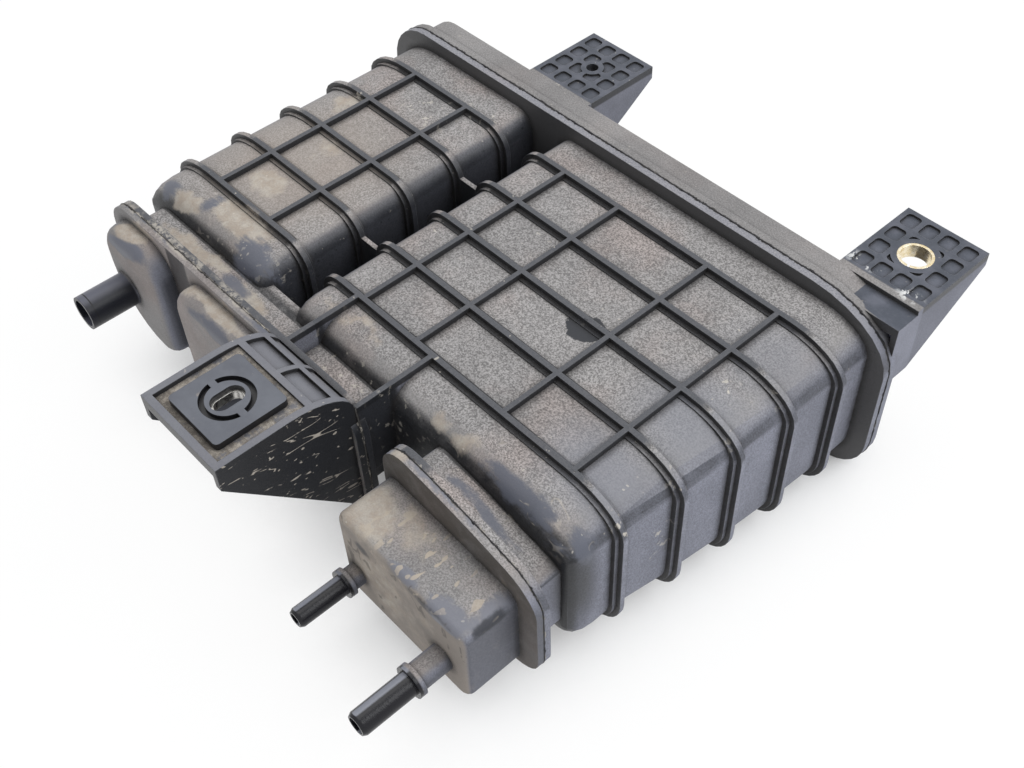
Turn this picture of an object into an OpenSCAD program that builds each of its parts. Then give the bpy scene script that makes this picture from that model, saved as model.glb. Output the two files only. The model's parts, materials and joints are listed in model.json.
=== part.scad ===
// Charcoal canister for fuel vapour: a two-chamber moulded body with a ribbed skin, a rear cover with
// two mounting tabs, a vent cap with a mounting bracket, a purge cap with two hose spigots, and inside
// each chamber a screen, felts, a bed of carbon, a retaining plate and its springs.
// X runs across the two chambers, Y from the hose ends to the rear cover, Z up.

/* [Chambers] */
// Width of the main chamber over its front hoop
main_w = 163.5; // [147:0.5:184]
// Extra width of the main chamber at the rear flange
main_flare = 8; // [0:0.5:13]
// Width of the vent chamber over its hoops
vent_w = 94.6; // [87.5:0.5:110.5]
// Clear gap between the hoops of the two chambers
chamber_gap = 9.2; // [5.5:0.5:14.5]
// Height of both chambers over their hoops at the rear flange
chamber_h = 74.9; // [70:0.5:84.5]
// Rise of the chambers' undersides towards the front hoop
bottom_rise = 4.6; // [0:0.5:6.5]
// Width and height of the chambers' outer top corners
outer_top = [26.6, 15.6]; // [13:0.5:31]
// Width and height of the chambers' outer bottom corners
outer_bottom = [13.8, 14.7]; // [11:0.5:22]
// Width and height of the corners beside the gap
inner_corner = [12.9, 11.9]; // [9:0.5:18.5]
// Thickness of every moulded wall
wall = 2.4; // [1.8:0.1:3.2]
// Length from the front hoop to the front wall
nose_len = 21; // [15.5:0.5:24]
// Radius of the rounded front edge
nose_r = 11.9; // [7.5:0.5:14]
// Share of that rounding that shows at the nose's two sides
nose_side = 0.4; // [0.2:0.05:1]
// Length from the rear hoop to the rear flange
tail_len = 17.9; // [14:0.5:27.5]

/* [Hoops and ribs] */
// Number of hoops round each chamber
hoop_count = 5; // [3:1:7]
// Distance from one hoop to the next
hoop_pitch = 26.3; // [22.1:0.1:31.2]
// Thickness of a hoop
hoop_t = 2.2; // [1.5:0.1:3.2]
// Height of the hoops and ribs over the top and bottom skin
rib_h = 2.6; // [1.4:0.1:3.7]
// Height of the hoops over the side skin
hoop_side_h = 4; // [3.2:0.1:5.5]
// Height of the thicker hoop foot on the sides
foot_h = 1.8; // [0.9:0.1:2.6]
// Height of the thicker hoop foot on the top and bottom
foot_low_h = 0.5; // [0.2:0.1:0.9]
// Thickness of the hoop foot along Y
foot_t = 5.5; // [3.7:0.1:7.4]
// Thickness of the lengthwise ribs, webs and stops
rib_t = 2; // [1.5:0.1:3.2]
// Lengthwise ribs of the main chamber, from its side at the gap
main_ribs = [25.7, 56.4, 103.3, 138.2]; // [9.2:0.1:147]
// Lengthwise ribs of the vent chamber, from its side at the gap
vent_ribs = [26.6, 60.9]; // [9.2:0.1:82.7]
// Drop of the webs between the chambers below the hoop tops
web_drop = 9.2; // [4.5:0.5:18.5]

/* [Rear flange and cover] */
// Reach of the rear flange past the hoops at the top and bottom
flange_lip = 4.1; // [3:0.5:6.5]
// Reach of the rear flange past the hoops at the two sides
flange_side_lip = 4.6; // [3:0.5:8.5]
// Thickness of the body's rear flange
flange_t = 3.5; // [2.8:0.1:5.5]
// Radius of the flange's top left corner
flange_r = 23; // [14.5:0.5:27.5]
// Width and height of the flange's top right corner
flange_right = [38, 25]; // [15:0.5:42]
// Radius of the flange's bottom corners
flange_low_r = 18.4; // [13:0.5:24]
// Depth of the rear cover
cover_d = 15.6; // [12:0.5:22]
// Thickness of the cover's rim
cover_rim = 3.7; // [2:0.5:5.5]
// Inset of the cover's box from the rim at the two sides
cover_side = 8.3; // [4.5:0.5:11]
// Inset of the cover's box from the rim at the top and bottom
cover_top = 1.8; // [0.9:0.1:3.7]
// Radius of the cover's rear edge
cover_r = 2.8; // [1:0.5:3.5]

/* [Mounting tabs] */
// Width of a tab
tab_w = 36.8; // [31:0.5:46]
// Length of the right tab behind the cover
right_tab_len = 41.8; // [37:0.5:50.5]
// Length of the left tab behind the cover
left_tab_len = 39; // [35:0.5:50.5]
// Drop of the tab tops below the top of the cover
tab_drop = 2.3; // [1.4:0.1:4.6]
// Thickness of a tab's plate, and length of its bush
tab_t = 6; // [4.6:0.1:8.3]
// Height of the gussets where they meet the cover
gusset_h = 32; // [23:0.5:44]
// Right tab's outer side, in from the flange's right end
right_tab_in = 1.8; // [0:0.5:11]
// Left tab's outer side, in from the flange's left end
left_tab_in = 74.4; // [55:0.5:101]
// Bush centre of the right tab, from the tab's tip
bush_set = 20.7; // [16.5:0.5:24]
// Locating hole of the left tab, from the tab's tip
locator_set = 19.3; // [15.5:0.5:24]
// Bore of the steel bush
bush_bore = 11.9; // [8.3:0.1:12.9]
// Wall of the steel bush
bush_wall = 1.1; // [0.7:0.1:1.8]
// Direction of the bush's slit, in degrees from X
slit_turn = 280; // [0:5:360]
// Width of the slit along the rolled bush
bush_slit = 1.1; // [0.6:0.1:1.8]
// Diameter of the locating hole
locator_d = 5.5; // [3.7:0.1:7.4]
// Radial width of the boss round each tab hole
boss_w = 2.4; // [1.4:0.1:3.7]
// Pockets along each side of a tab
cells = 4; // [3:1:5]
// Width of the ribs between the pockets
cell_rib = 2.2; // [0.9:0.1:2.8]
// Corner radius of the pockets
cell_r = 1.8; // [0.5:0.1:3]
// Depth of the pockets
cell_depth = 1; // [0.6:0.1:2.8]

/* [Vent cap] */
// Length of the two collars ahead of the front wall
collar_len = 11.9; // [9:0.1:20]
// Thickness of each half of a welded cap flange
cap_flange_t = 3; // [1.8:0.1:4.6]
// Reach of the cap flanges past the top and bottom of their collars
cap_lip = 11; // [8:0.5:14]
// Reach of the cap flanges past the ends of their collars
cap_end = 7.5; // [6:0.5:11]
// Reach of the vent flange past the vent chamber's outer side
vent_lip_side = -9; // [-12:0.5:2]
// Reach of the vent flange past the gap, in front of the main chamber
vent_lip_past = 78.1; // [71.5:0.5:82.5]
// Rise of the vent flange over the hoop tops
vent_lip_rise = 0; // [-3.5:0.5:3.5]
// Height of the vent flange's underside over the rear hoops' underside
vent_lip_lift = 11.3; // [6:0.5:16]
// Radius of the vent flange's outer top corner
vent_outer_r = 14.7; // [11:0.5:22]
// Width and height of the vent flange's outer bottom corner
vent_low = [36, 38]; // [20:0.5:40]
// Corner radius of the vent flange at the bracket and of the purge flange
cap_r = 13.8; // [11:0.5:18.5]
// Inset of the vent cap's lobes from the flange
lobe_in = 4.1; // [3:0.5:7.5]
// Depth of the vent cap's port lobe
lobe_d = 9.5; // [7.5:0.5:14.5]
// Width of the port lobe
lobe_w = 40; // [35:0.5:46]
// Width and height of the port lobe's outer bottom corner
lobe_low = [30, 34]; // [15:0.5:36]
// Radius of the port lobe's bottom corner at the valley
lobe_foot = 8; // [6:0.5:10]
// Width of the valley beside the port lobe
valley_w = 13; // [6:0.5:18]
// Depth of the vent cap's inner lobe
panel_d = 9.3; // [5.5:0.5:13]
// Radius of the lobes' front edges
lobe_r = 5.5; // [3:0.5:6.5]
// Outer diameter of the air port
port_d = 15; // [11:0.1:16.5]
// Length of the air port ahead of the cap
port_len = 22.1; // [16.5:0.5:32]
// Air port's axis, in from the vent chamber's outer side
port_in = 27.6; // [22:0.5:33]
// Air port's axis below the hoop tops
port_drop = 33.1; // [25.5:0.5:41.5]

/* [Bracket] */
// Width of the bracket
bracket_w = 45; // [40.5:0.5:51.5]
// Right side of the bracket, in from the vent flange's right end
bracket_in = 1.8; // [1:0.5:5.5]
// Reach of the bracket ahead of the vent cap's weld
bracket_len = 54.9; // [49.5:0.5:64.5]
// Height of the bracket's top over the hoop tops
bracket_rise = 14.2; // [9:0.5:18.5]
// Height of the bracket's sides at the front
bracket_front_h = 10.6; // [8.5:0.5:14.5]
// Height of the lip between the sides at the front
bracket_lip_h = 5; // [3.5:0.5:8]
// Length of the bracket's curved shoulder
shoulder_len = 25.7; // [20:0.5:33]
// Drop of the gussets' foot below the bracket's top
gusset_drop = 70.7; // [55:0.5:78]
// Thickness of the bracket's walls
bracket_wall = 2.8; // [1.8:0.1:3.7]
// Rim at the front and rear of the recess in the bracket's top
recess_rim = 2.9; // [1.8:0.1:4.6]
// Depth of the recess
recess_depth = 2; // [1.4:0.1:3.7]
// Length of the recess
recess_len = 34.9; // [33:0.5:40.5]
// Depth of the pockets behind the recess
shoulder_depth = 1.8; // [0.9:0.1:2.8]
// Length of the long pockets behind the recess
shoulder_cell = 7.4; // [4.5:0.5:8.5]

/* [Bracket pad] */
// Width and length of the square pad
pad_size = 29.4; // [26.5:0.5:33]
// Thickness of the pad
pad_t = 2.9; // [2.8:0.1:5.5]
// Corner radius of the pad
pad_r = 1.8; // [1:0.5:4.5]
// Length of the slotted hole along the pad
slot_len = 12.9; // [10:0.5:14]
// Width of the slotted hole
slot_w = 7.8; // [5.5:0.5:9]
// Wall of the steel sleeve in the slotted hole
sleeve_wall = 0.9; // [0.6:0.1:1.5]
// Drop of the sleeve below the pad's top
sleeve_drop = 2; // [0.2:0.1:2.8]
// Mean diameter of the ring groove in the pad
groove_d = 17.9; // [16.5:0.5:24]
// Width and depth of the ring groove
groove_w = 2.1; // [0.9:0.1:2.4]
// Width of the two bridges across the ring groove
bridge_w = 2.8; // [1.4:0.1:5.5]

/* [Purge cap] */
// Left end of the purge flange, from the main chamber's side at the gap
purge_in = 84; // [82:0.5:88]
// Width of the purge flange
purge_w = 77.7; // [73.5:0.5:82.5]
// Rise of the purge flange's high left end over the hoop tops
purge_rise = 1.4; // [-3.5:0.5:3.5]
// Height of the purge flange's underside over the rear hoops' underside
purge_lift = 13.3; // [9:0.5:16.5]
// Fall of the purge flange's top for each millimetre across
purge_fall = 0.18; // [0:0.01:0.25]
// Crown of the purge flange's top in its middle
purge_crown = 2.3; // [0:0.5:3.5]
// Box of the purge cap, in from the flange's left end
box_left = 2; // [2:0.5:7.5]
// Box of the purge cap, in from the flange's right end
box_right = 9.2; // [4.5:0.5:14.5]
// Box of the purge cap, down from the flange's top
box_down = 16; // [10:0.5:20]
// Box of the purge cap, up from the flange's underside
box_up = 1.8; // [1:0.5:5.5]
// Fall of the box's top for each millimetre across
box_fall = 0.08; // [0:0.01:0.2]
// Corner radius of the box
box_corner = 5.5; // [3.5:0.5:9]
// Radius of the box's front edges
box_r = 2.8; // [1:0.5:3.5]
// Depth of the purge cap's box ahead of its flange
purge_cap_d = 23.3; // [18.5:0.5:33]
// Diameter of the purge spigot
purge_d = 7.89; // [6:0.01:10]
// Diameter of the tank spigot
tank_d = 9.49; // [8:0.01:13]
// Length of the purge spigot ahead of the box
purge_len = 27.8; // [24:0.5:37]
// Length of the tank spigot ahead of the box
tank_len = 37; // [31:0.5:44]
// Distance from the box to the purge spigot's bead
purge_bead = 4.7; // [3.5:0.5:11]
// Distance from the box to the tank spigot's bead
tank_bead = 11.8; // [7.5:0.5:16.5]
// Height of both spigot axes over the rear hoops' underside
spigot_lift = 29.9; // [25.5:0.5:35]
// Purge spigot's axis, from the box's left side
purge_set = 8; // [5.5:0.5:13]
// Tank spigot's axis, from the box's right side
tank_set = 12.8; // [11:0.5:18]
// Wall of the spigots and the air port
spigot_wall = 1.5; // [1.1:0.1:2.3]
// Extra radius of a spigot behind its bead
spigot_base = 0.5; // [0.2:0.1:1.4]
// Height of the bead over the spigot
bead_h = 1.7; // [0.9:0.1:2.3]
// Width of the bead
bead_w = 2.8; // [1.4:0.1:3.7]
// Length of a spigot's rounded tip
tip_len = 1.4; // [0.5:0.1:2.8]

/* [Filling] */
// Thickness of the felts
felt_t = 4.6; // [3:0.5:7.5]
// Thickness of the screens and retaining plates
plate_t = 2.3; // [1.8:0.1:3.7]
// Distance from the rear hoop to the retaining plates
plate_set = 0; // [-9:0.5:7.5]
// Width of the slots in the screens and plates
grid_slot = 4.6; // [3:0.5:6.5]
// Bars between the slots
grid_bar = 4.6; // [3:0.5:6.5]
// Plain rim of the screens and plates
grid_rim = 11; // [8.5:0.5:14.5]
// Outer diameter of the springs
spring_d = 22.1; // [16.5:0.5:27.5]
// Diameter of the spring wire
wire_d = 1.8; // [1.3:0.1:2.4]
// Length of the pegs that centre the springs
peg_h = 4.6; // [3:0.5:7.5]
// Depth of the stops that hold the screens
stop_h = 8.3; // [5.5:0.5:13]
// Number of those stops across the top and across the bottom of a nose
stop_count = 3; // [2:1:5]
// Turns of each spring
spring_turns = 6; // [5:0.5:8]
// Main springs' place, as a share of the main chamber's width from its sides
spring_set = 0.25; // [0.2:0.01:0.35]
// Pitch of a spring's closed end turns, in wire diameters
closed_pitch = 1.05; // [1.02:0.01:1.2]
// Clearance round the pieces in a chamber
fill_gap = 0.3; // [0.2:0.05:0.5]
// Clearance at each end of a spring
spring_gap = 0.2; // [0.1:0.05:0.4]
// Clearance between a peg and its spring
peg_gap = 0.5; // [0.3:0.1:1]
// Radial clearance of the pressed bush and sleeve
press_gap = 0.05; // [0.02:0.01:0.2]

/* [Hidden] */

// Levels
z_bot = flange_lip;
z_top = z_bot + chamber_h;
z_mid = z_bot + chamber_h / 2;
z_flange_top = z_top + flange_lip;
tab_top = z_flange_top - tab_drop;
bracket_top = z_top + bracket_rise;
recess_floor = bracket_top - recess_depth;
pad_top = recess_floor + pad_t;
vent_z0 = z_bot + vent_lip_lift;
vent_z1 = z_top + vent_lip_rise;
purge_z0 = z_bot + purge_lift;
purge_z1 = z_top + purge_rise;
box_z0 = purge_z0 + box_up;
box_z1 = purge_z1 - box_down;
port_z = z_top - port_drop;
spigot_z = z_bot + spigot_lift;

// Stations along Y
rear_hoop_y = hoop_pitch * (hoop_count - 1);
nose_y = -nose_len;
flange_y = rear_hoop_y + tail_len;
weld_y = flange_y + flange_t;
cover_back = weld_y + cover_d;
collar_y = nose_y - collar_len;
cap_weld_y = collar_y - cap_flange_t;
cap_y = cap_weld_y - cap_flange_t;
box_front_y = cap_y - purge_cap_d;
lobe_front_y = cap_y - lobe_d;
bracket_front_y = cap_weld_y - bracket_len;
recess_y0 = bracket_front_y + recess_rim;
recess_y1 = recess_y0 + recess_len;
bush_y = cover_back + right_tab_len - bush_set;
locator_y = cover_back + left_tab_len - locator_set;
pad_y = (recess_y0 + recess_y1) / 2;
screen_y = nose_y + nose_r;
front_felt_y = screen_y + plate_t;
bed_y = front_felt_y + felt_t;
plate_y = rear_hoop_y + plate_set;
rear_felt_y = plate_y - felt_t;
spring_y0 = plate_y + plate_t;
spring_y1 = cover_back - wall;

// Stations along X
main_x0 = chamber_gap / 2;
main_x1 = main_x0 + main_w;
vent_x1 = -chamber_gap / 2;
vent_x0 = vent_x1 - vent_w;
flange_x0 = vent_x0 - flange_side_lip;
flange_x1 = main_x1 + main_flare + flange_side_lip;
vent_flange_x0 = vent_x0 - vent_lip_side;
vent_flange_x1 = vent_x1 + vent_lip_past;
lobe_x0 = vent_flange_x0 + lobe_in;
lobe_x1 = lobe_x0 + lobe_w;
bracket_x1 = vent_flange_x1 - bracket_in;
bracket_x0 = bracket_x1 - bracket_w;
purge_x0 = main_x0 + purge_in;
purge_x1 = purge_x0 + purge_w;
box_x0 = purge_x0 + box_left;
box_x1 = purge_x1 - box_right;
right_tab_x = flange_x1 - right_tab_in - tab_w;
left_tab_x = flange_x0 + left_tab_in;
bush_x = right_tab_x + tab_w / 2;
locator_x = left_tab_x + tab_w / 2;
pad_x = (bracket_x0 + bracket_x1) / 2;
port_x = vent_x0 + port_in;
purge_x = box_x0 + purge_set;
tank_x = box_x1 - tank_set;
main_inner_spring_x = main_x0 + main_w * spring_set;
main_outer_spring_x = main_x1 - main_w * spring_set;
vent_spring_x = (vent_x0 + vent_x1) / 2;

// The origin is the middle of the footprint
tip_y = min(box_front_y - tank_len, bracket_front_y, lobe_front_y - port_len);
end_y = cover_back + max(right_tab_len, left_tab_len);
mid_x = (min(flange_x0, vent_flange_x0) + flange_x1) / 2;
mid_y = (tip_y + end_y) / 2;

// Corners as [width, height], from the top right round to the bottom right
main_corners = [outer_top, inner_corner, inner_corner, outer_bottom];
vent_corners = [inner_corner, outer_top, outer_bottom, inner_corner];
flange_corners = concat([flange_right], [for (r = [flange_r, flange_low_r, flange_low_r]) [r, r]]);
cap_corners = [for (i = [0:3]) [cap_r, cap_r]];
vent_outer = [vent_outer_r, vent_outer_r];
vent_flange_corners = [cap_corners[0], vent_outer, vent_low, cap_corners[3]];
lobe_corners = [cap_corners[0], vent_outer, lobe_low, [lobe_foot, lobe_foot]];
box_corners = [for (i = [0:3]) [box_corner, box_corner]];
pad_corners = [for (i = [0:3]) [pad_r, pad_r]];
cell_corners = [for (i = [0:3]) [cell_r, cell_r]];

// Diameters that follow from the fits
bush_d = bush_bore + 2 * bush_wall;
peg_d = spring_d - 2 * wire_d - 2 * peg_gap;

// Overlap that fuses the features of one moulding, and of the stops with the skin
fuse = 1;
stop_sink = wall / 5;
// Steps of an outline's corner, of a level edge, of a rounded edge, and of a spring's turn and wire
corner_steps = 7;
crown_steps = 6;
edge_steps = 4;
turn_steps = 20;
wire_steps = 6;
// Smallest radius left of a corner that is inset
least_r = 0.5;
$fn = 64;

// Share of the flare that is reached at station y
function bulge(y) = let (t = min(max(y / flange_y, 0), 1)) t * (2 - t);

// Quarter of an ellipse that starts at angle a
function quarter(x, z, c, a) = [for (i = [0:corner_steps])
    let (b = a + 90 * i / corner_steps)
    [x + c[0] * cos(b), z + c[1] * sin(b)]];

// Outline of a box section with its own elliptical corners, inset by ix and iz
function section(x0, x1, z0, z1, corners, ix = 0, iz = 0) =
    let (c = [for (k = corners) [max(k[0] - ix, least_r), max(k[1] - iz, least_r)]],
        l = x0 + ix, r = x1 - ix, b = z0 + iz, t = z1 - iz, top_x0 = l + c[1][0], top_x1 = r - c[0][0])
    concat(
        quarter(top_x1, t - c[0][1], c[0], 0),
        [for (i = [1:crown_steps - 1]) [top_x1 + (top_x0 - top_x1) * i / crown_steps, t]],
        quarter(top_x0, t - c[1][1], c[1], 90),
        quarter(l + c[2][0], b + c[2][1], c[2], 180),
        quarter(r - c[3][0], b + c[3][1], c[3], 270));

// An outline whose top falls to the right across the purge cap, with a crown in the middle
function fall(points, z0, z1, slope, crown) =
    [for (p = points)
        let (t = (p[0] - purge_x0) / purge_w, drop = slope * purge_w * t - crown * 4 * t * (1 - t))
        [p[0], p[1] - drop * (p[1] - z0) / (z1 - z0)]];

// Hoop outline of a chamber at station y, inset by ix and iz
function chamber_section(vent, y, ix = 0, iz = 0) =
    let (low = z_bot + bottom_rise * (1 - bulge(y)))
    vent ? section(vent_x0, vent_x1, low, z_top, vent_corners, ix, iz)
        : section(main_x0, main_x1 + main_flare * bulge(y), low, z_top, main_corners, ix, iz);

// Outlines of the rear flange and the cover's box, inset by i
function flange_section(i) = section(flange_x0, flange_x1, 0, z_flange_top, flange_corners, i, i);
function cover_section(i) = section(flange_x0, flange_x1, 0, z_flange_top, flange_corners,
    cover_side + i, cover_top + i);

// Outlines of the two cap flanges, inset by ix and iz, and of the purge cap's box, inset by i
function vent_section(ix = 0, iz = 0) =
    section(vent_flange_x0, vent_flange_x1, vent_z0, vent_z1, vent_flange_corners, ix, iz);
function purge_section(ix = 0, iz = 0) =
    fall(section(purge_x0, purge_x1, purge_z0, purge_z1, cap_corners, ix, iz),
        purge_z0, purge_z1, purge_fall, purge_crown);
function box_section(i) =
    fall(section(box_x0, box_x1, box_z0, box_z1, box_corners, i, i), box_z0, box_z1, box_fall, 0);

// Sections [y, outline] of an edge of radius r that rounds off towards -Y, from station y
function rounded(y, r, outlines) = [for (k = [edge_steps:-1:0])
    [y + r * (1 - sin(90 * k / edge_steps)), outlines[k]]];

// Insets of a rounded edge of radius r, from its side to its front
function edge_insets(r) = [for (k = [0:edge_steps]) r * (1 - cos(90 * k / edge_steps))];

// A solid lofted through sections [y, outline] of rising y, all with the same number of points
module loft(sections) {
    n = len(sections[0][1]);
    last = len(sections) - 1;
    points = [for (s = sections, p = s[1]) [p[0], s[0], p[1]]];
    sides = [for (i = [0:last - 1], j = [0:n - 1])
        let (k = (j + 1) % n, a = i * n, b = a + n)
        each [[a + j, a + k, b + k], [a + j, b + k, b + j]]];
    ends = [[for (j = [n - 1:-1:0]) j], [for (j = [0:n - 1]) last * n + j]];
    polyhedron(points, concat(sides, ends));
}

// A plate of thickness t that stands across Y, from station y, with its outline in [x, z]
module slab(y, t, outline) {
    translate([0, y + t, 0])
        rotate([90, 0, 0])
            linear_extrude(t)
                polygon(outline);
}

// A plate of thickness t that stands across X, from station x, with its outline in [y, z]
module side_plate(x, t, outline) {
    translate([x, 0, 0])
        rotate([90, 0, 90])
            linear_extrude(t)
                polygon(outline);
}

// A box between two corners
module block(low, high) {
    translate(low)
        cube(high - low);
}

// A round bar along Y from y0 to y1
module rod(x, y0, y1, z, d) {
    translate([x, y1, z])
        rotate([90, 0, 0])
            cylinder(h = y1 - y0, d = d);
}

// A slot along Y with round ends, from z0 to z1, about the middle of the pad
module pad_slot(z0, z1, length, width) {
    straight = length - width;
    translate([pad_x, pad_y, z0]) {
        for (s = [-1, 1])
            translate([0, s * straight / 2, 0])
                cylinder(h = z1 - z0, d = width);
        translate([-width / 2, -straight / 2, 0])
            cube([width, straight, z1 - z0]);
    }
}

// Puts a piece in the part's frame
module placed() {
    translate([-mid_x, -mid_y, 0])
        children();
}

// The smooth shell of a chamber with its rounded nose, inset by i all round, up to station y1
module chamber(vent, i, y1) {
    ix = hoop_side_h + i;
    iz = rib_h + i;
    nose = [for (d = edge_insets(nose_r - i)) chamber_section(vent, 0, ix + nose_side * d, iz + d)];
    stations = concat([for (h = [0:hoop_count - 1]) h * hoop_pitch], [y1]);
    loft(concat(rounded(nose_y + i, nose_r - i, nose),
        [for (y = stations) [y, chamber_section(vent, y, ix, iz)]]));
}

// Hoops of a chamber, with a thicker foot
module hoops(vent) {
    for (i = [0:hoop_count - 1]) {
        y = i * hoop_pitch;
        slab(y - hoop_t / 2, hoop_t, chamber_section(vent, y));
        slab(y - foot_t / 2, foot_t, chamber_section(vent, y, hoop_side_h - foot_h, rib_h - foot_low_h));
    }
}

// Lengthwise ribs over the top and the bottom, between the first and the last hoop
module ribs() {
    rib_xs = concat([for (m = main_ribs) main_x0 + m], [for (v = vent_ribs) vent_x1 - v]);
    for (x = rib_xs, i = [0:hoop_count - 2]) {
        y = i * hoop_pitch;
        low = z_bot + bottom_rise * (1 - bulge(y));
        block([x - rib_t / 2, y, low], [x + rib_t / 2, y + hoop_pitch, z_top]);
    }
}

// Webs that tie the two chambers together at every second hoop
module webs() {
    reach = hoop_side_h + fuse;
    for (i = [1:2:hoop_count - 2])
        block([vent_x1 - reach, i * hoop_pitch - rib_t / 2, z_bot + web_drop],
            [main_x0 + reach, i * hoop_pitch + rib_t / 2, z_top - web_drop]);
}

// Ribs that tie the vent collar to the main chamber's front hoop
module link_ribs() {
    for (x = [bracket_x0, bracket_x1 - rib_t])
        block([x, cap_weld_y, z_mid], [x + rib_t, fuse, z_top]);
}

// Stops on the inner top and bottom of a nose that hold its screen
module screen_stops(x0, x1) {
    skin = rib_h + wall - stop_sink;
    for (k = [1:stop_count]) {
        x = x0 + (x1 - x0) * k / (stop_count + 1);
        for (z = [z_bot + bottom_rise + skin, z_top - skin - stop_h])
            block([x - rib_t / 2, screen_y - nose_r / 2, z], [x + rib_t / 2, screen_y, z + stop_h]);
    }
}

// Way from a cap's weld to station y, with its outline in [x, z]
module plenum(y, outline) {
    slab(cap_weld_y - fuse, y - cap_weld_y + fuse, outline);
}

module canister_body() color("#3a3a3c") placed() {
    collar_depth = nose_y + nose_r / 2 - cap_weld_y;
    inner_x = vent_x1 - hoop_side_h - nose_r;
    open_y = nose_y + wall + fuse;
    hollow_x = cap_end + wall;
    hollow_z = cap_lip + wall;
    difference() {
        union() {
            for (vent = [false, true]) {
                chamber(vent, 0, weld_y);
                hoops(vent);
            }
            ribs();
            webs();
            link_ribs();
            slab(flange_y, flange_t, flange_section(0));
            slab(cap_weld_y, cap_flange_t, vent_section());
            slab(cap_weld_y, cap_flange_t, purge_section());
            slab(cap_weld_y, collar_depth, vent_section(cap_end, cap_lip));
            slab(cap_weld_y, collar_depth, purge_section(cap_end, cap_lip));
        }
        chamber(false, wall, weld_y + fuse);
        chamber(true, wall, weld_y + fuse);
        plenum(open_y, purge_section(hollow_x, hollow_z));
        plenum(open_y, section(vent_flange_x0, inner_x + hollow_x, vent_z0, vent_z1,
            vent_flange_corners, hollow_x, hollow_z));
        plenum(nose_y - wall, section(inner_x - hollow_x + wall, vent_flange_x1, vent_z0, vent_z1,
            cap_corners, hollow_x, hollow_z));
    }
    screen_stops(main_x0, main_x1);
    screen_stops(vent_x0, vent_x1);
}

// Pockets of a tab's top, clear of the boss round its hole
module tab_pockets(x, length, hole_x, hole_y, boss_d) {
    step_x = (tab_w - cell_rib) / cells;
    step_y = (length - cell_rib) / cells;
    difference() {
        for (i = [0:cells - 1], j = [0:cells - 1])
            translate([x + i * step_x, cover_back + j * step_y, tab_top - cell_depth])
                linear_extrude(cell_depth + fuse)
                    polygon(section(cell_rib, step_x, cell_rib, step_y, cell_corners));
        translate([hole_x, hole_y, 0])
            cylinder(h = z_top * 2, d = boss_d);
    }
}

// A mounting tab: a pocketed plate on two gussets that reach the cover's rim, with a hole in a plain boss
module tab(x, length, hole_x, hole_y, hole_d) {
    y0 = weld_y + cover_rim / 2;
    y1 = cover_back + length;
    foot_z = tab_top - gusset_h;
    low_z = tab_top - tab_t;
    web_z = tab_top - cell_depth - fuse;
    gusset = [[y0, foot_z], [cover_back, foot_z], [y1, low_z], [y1, web_z], [y0, web_z]];
    difference() {
        union() {
            block([x, cover_back - wall, low_z], [x + tab_w, y1, tab_top]);
            block([x, y0, low_z], [x + tab_w, cover_back, web_z]);
            for (gx = [x, x + tab_w - wall])
                side_plate(gx, wall, gusset);
        }
        tab_pockets(x, length, hole_x, hole_y, hole_d + 2 * boss_w);
        translate([hole_x, hole_y, 0])
            cylinder(h = z_top * 2, d = hole_d);
    }
}

module rear_cover() color("#434345") placed() {
    edge = [for (k = [0:edge_steps])
        let (a = 90 * k / edge_steps)
        [cover_back - cover_r * (1 - sin(a)), cover_section(cover_r * (1 - cos(a)))]];
    difference() {
        union() {
            slab(weld_y, cover_rim, flange_section(0));
            loft(concat([[weld_y + cover_rim / 2, cover_section(0)]], edge));
            tab(right_tab_x, right_tab_len, bush_x, bush_y, bush_d + 2 * press_gap);
            tab(left_tab_x, left_tab_len, locator_x, locator_y, locator_d);
        }
        slab(weld_y - fuse, cover_d - wall + fuse, cover_section(cover_r + wall));
    }
    for (x = [main_inner_spring_x, main_outer_spring_x, vent_spring_x])
        rod(x, spring_y1 - peg_h, spring_y1 + fuse, z_mid, peg_d);
}

// The bracket's side outline in [y, z]: flat top, curved shoulder and sloping foot, lowered by d
function bracket_outline(d) = concat(
    [[bracket_front_y, bracket_top - bracket_front_h], [bracket_front_y, bracket_top - d]],
    [for (i = [0:2 * edge_steps])
        let (a = 90 * i / (2 * edge_steps))
        [cap_weld_y - shoulder_len * (1 - sin(a)), bracket_top - d - bracket_rise * (1 - cos(a))]],
    [[cap_weld_y, bracket_top - gusset_drop]]);

// Two columns of the bracket's width, between its walls and a middle rib of width w
module bracket_columns(w, y0, y1, z0, z1) {
    column = (bracket_w - 2 * bracket_wall - w) / 2;
    for (x = [bracket_x0 + bracket_wall, bracket_x1 - bracket_wall - column])
        block([x, y0, z0], [x + column, y1, z1]);
}

// Pockets on the shoulder behind the recess: a row of long ones, then a row of short ones
module shoulder_pockets() {
    y0 = recess_y1 + recess_rim;
    y1 = y0 + shoulder_cell + cell_rib;
    difference() {
        union() {
            bracket_columns(cell_rib, y0, y0 + shoulder_cell, z_mid, bracket_top + fuse);
            bracket_columns(cell_rib, y1, y1 + shoulder_cell / 2, z_mid, bracket_top + fuse);
        }
        side_plate(bracket_x0, bracket_w, bracket_outline(shoulder_depth));
    }
}

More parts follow.
